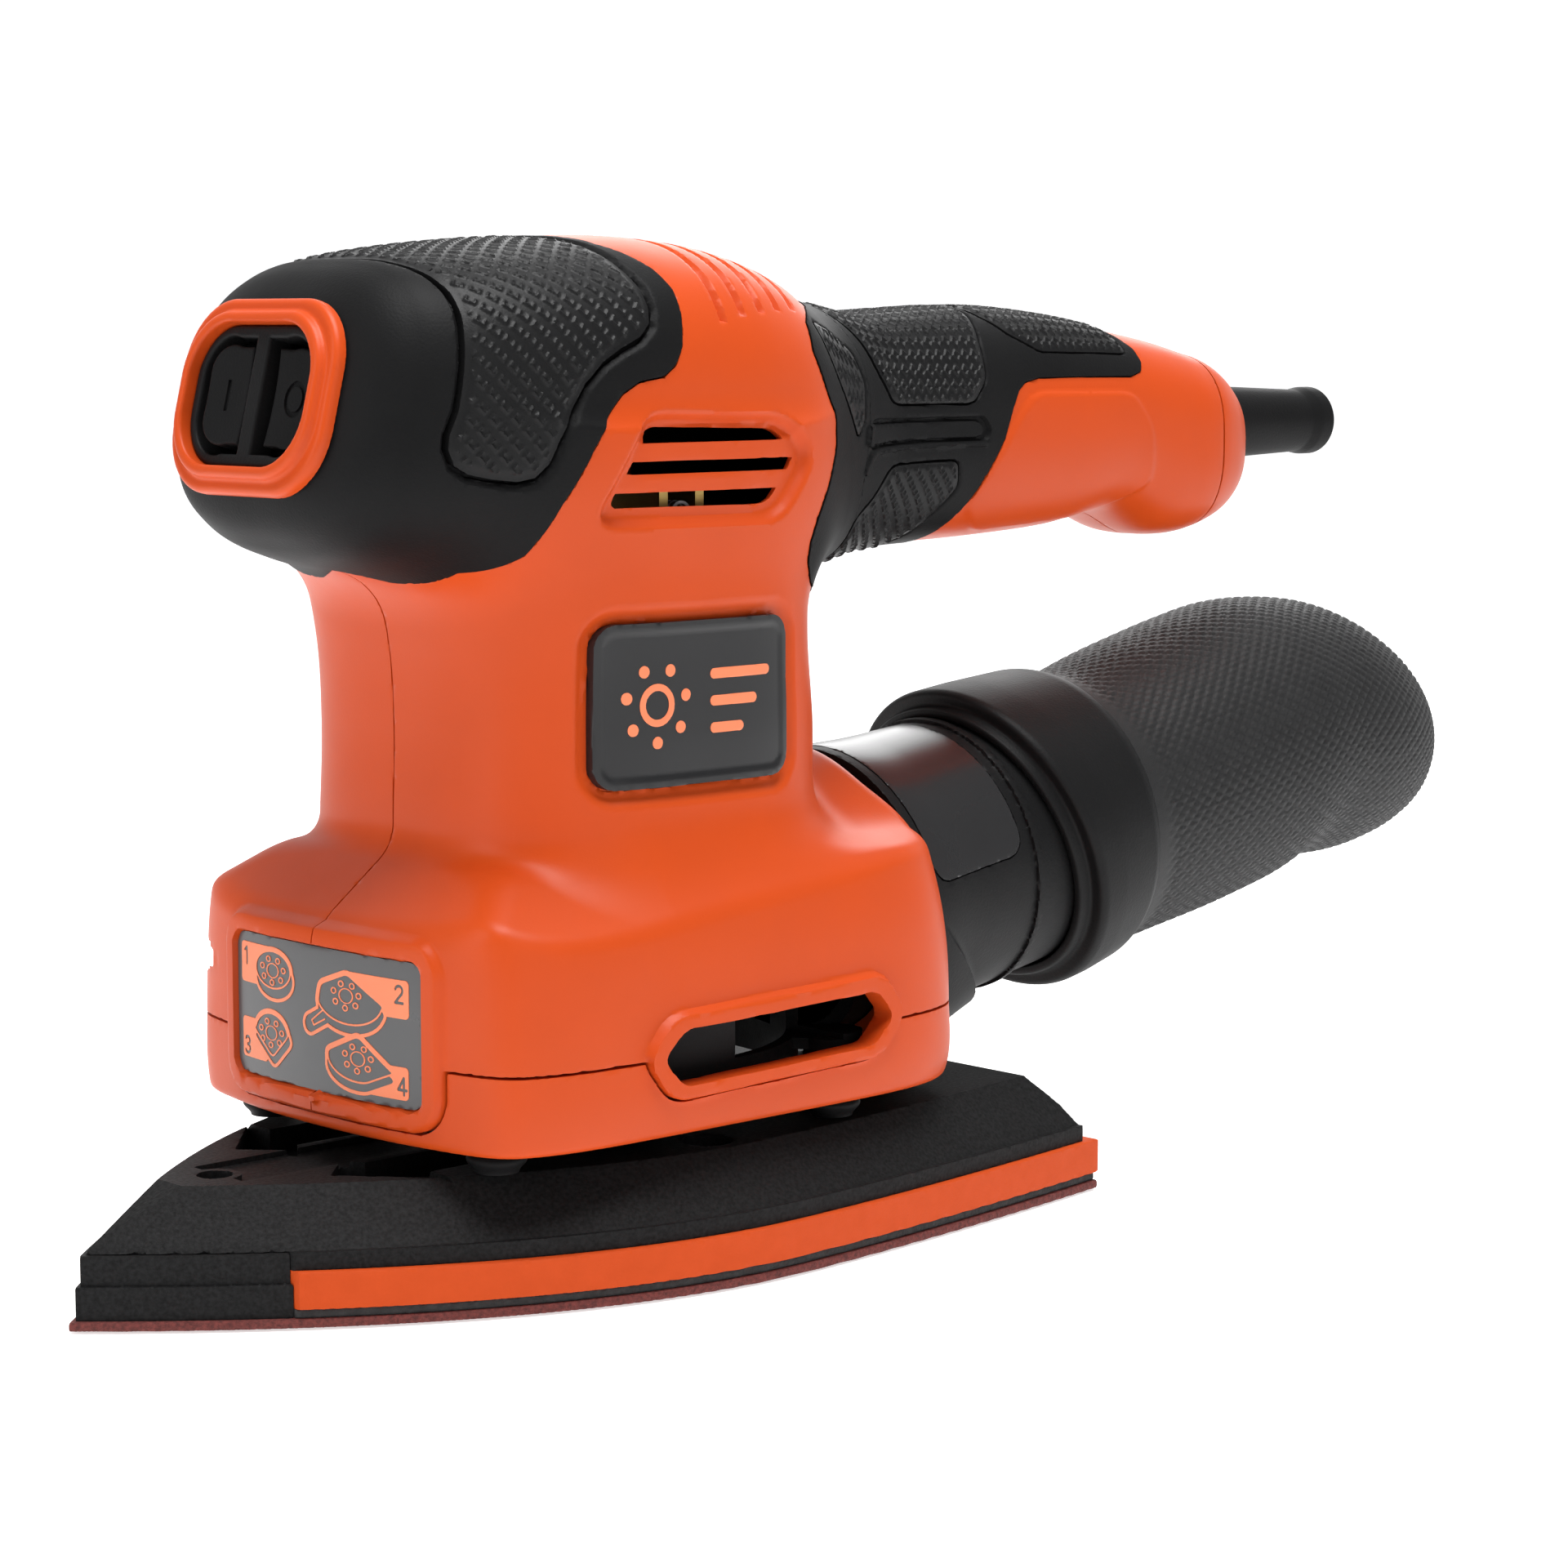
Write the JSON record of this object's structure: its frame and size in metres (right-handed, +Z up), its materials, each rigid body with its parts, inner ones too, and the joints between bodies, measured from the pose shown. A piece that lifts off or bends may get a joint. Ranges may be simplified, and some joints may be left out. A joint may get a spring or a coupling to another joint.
{
  "type": "detail sander",
  "caption": "Corded detail sander with an iron-shaped orbiting base, rear handle, front rocker switch and a pull-off dust bag.",
  "frame": {"origin": "on the sanding face, on the motor axis", "axes": "+X from the pointed tip towards the rear handle, +Y to the right-hand side of the tool seen from behind its tip, +Z up from the sanding face"},
  "size_m": [0.3311, 0.106, 0.1744],
  "materials": {
    "orange_plastic": "satin",
    "black_plastic": "matte",
    "grip_rubber": "matte",
    "gloss_black": "gloss",
    "label_film": "gloss",
    "smoked_plastic": "gloss",
    "steel": "machined",
    "zinc_steel": "zinc plated",
    "core_iron": "laminated",
    "copper": "enamelled",
    "brass": "satin",
    "carbon": "matte",
    "foam": "matte",
    "hook_fabric": "hook pile",
    "abrasive": "grit coated",
    "bag_fabric": "coated, embossed",
    "capacitor_case": "gloss"
  },
  "bodies": {
    "housing": {"housing_left": "orange_plastic", "housing_right": "orange_plastic", "base_skirt": "orange_plastic", "nose_grip": "black_plastic", "palm_pad": "grip_rubber", "switch_bezel": "orange_plastic", "switch_frame": "black_plastic", "switch_module": "black_plastic", "front_label": "label_film", "badge_left": "gloss_black", "badge_right": "gloss_black", "handle_collar": "grip_rubber", "handle_grip": "grip_rubber", "handle_end_cap": "orange_plastic", "strain_relief": "grip_rubber", "cable_clamp": "black_plastic", "clamp_screws": "zinc_steel", "capacitor": "capacitor_case", "fan_shroud": "black_plastic", "bearing_plate": "black_plastic", "bearing_cup": "grip_rubber", "stator_core": "core_iron", "field_coils": "copper", "upper_bearing": "steel", "lower_bearing": "steel", "brush_holders": "brass", "carbon_brushes": "carbon", "brush_springs": "steel", "housing_screws": "zinc_steel", "skirt_screws": "zinc_steel", "isolator_posts": "grip_rubber"},
    "armature": {"motor_shaft": "steel", "rotor_core": "core_iron", "rotor_windings": "copper", "commutator": "brass", "fan": "black_plastic", "eccentric_weight": "core_iron", "bearing_screw": "zinc_steel"},
    "pad_carrier": {"pad_bearing": "steel", "pad_hub": "black_plastic"},
    "base": {"platen": "black_plastic", "platen_tip": "black_plastic", "foam_pad": "foam", "hook_pad": "hook_fabric", "sanding_sheet": "abrasive"},
    "rocker": {"switch_rocker": "black_plastic"},
    "dust_adapter_body": {"dust_adapter": "black_plastic", "adapter_window": "smoked_plastic"},
    "dust_bag_body": {"bag_collar": "black_plastic", "dust_bag": "bag_fabric"}
  },
  "joints": [
    {"name": "motor_spin", "type": "hinge", "parent": "housing", "child": "armature", "pos_m": [0, 0, 0.06], "axis": [0, 0, 1], "continuous": true},
    {"name": "pad_orbit", "type": "hinge", "parent": "armature", "child": "pad_carrier", "pos_m": [0.001, 0, 0.026], "axis": [0, 0, 1], "continuous": true},
    {"name": "base_release", "type": "slide", "parent": "pad_carrier", "child": "base", "axis": [0, 0, -1], "range_m": [0, 0.03]},
    {"name": "rocker_tilt", "type": "hinge", "parent": "housing", "child": "rocker", "pos_m": [-0.05577, 0, 0.14602], "axis": [-0.2419, 0, -0.9703], "range_deg": [0, 14]},
    {"name": "adapter_pull", "type": "slide", "parent": "housing", "child": "dust_adapter_body", "axis": [0.9882, 0, 0.153], "range_m": [0, 0.03]},
    {"name": "bag_pull", "type": "slide", "parent": "dust_adapter_body", "child": "dust_bag_body", "axis": [0.9882, 0, 0.153], "range_m": [0, 0.03]}
  ],
  "couplings": [
    {"joint": "pad_orbit", "follows": "motor_spin", "ratio": -1}
  ]
}
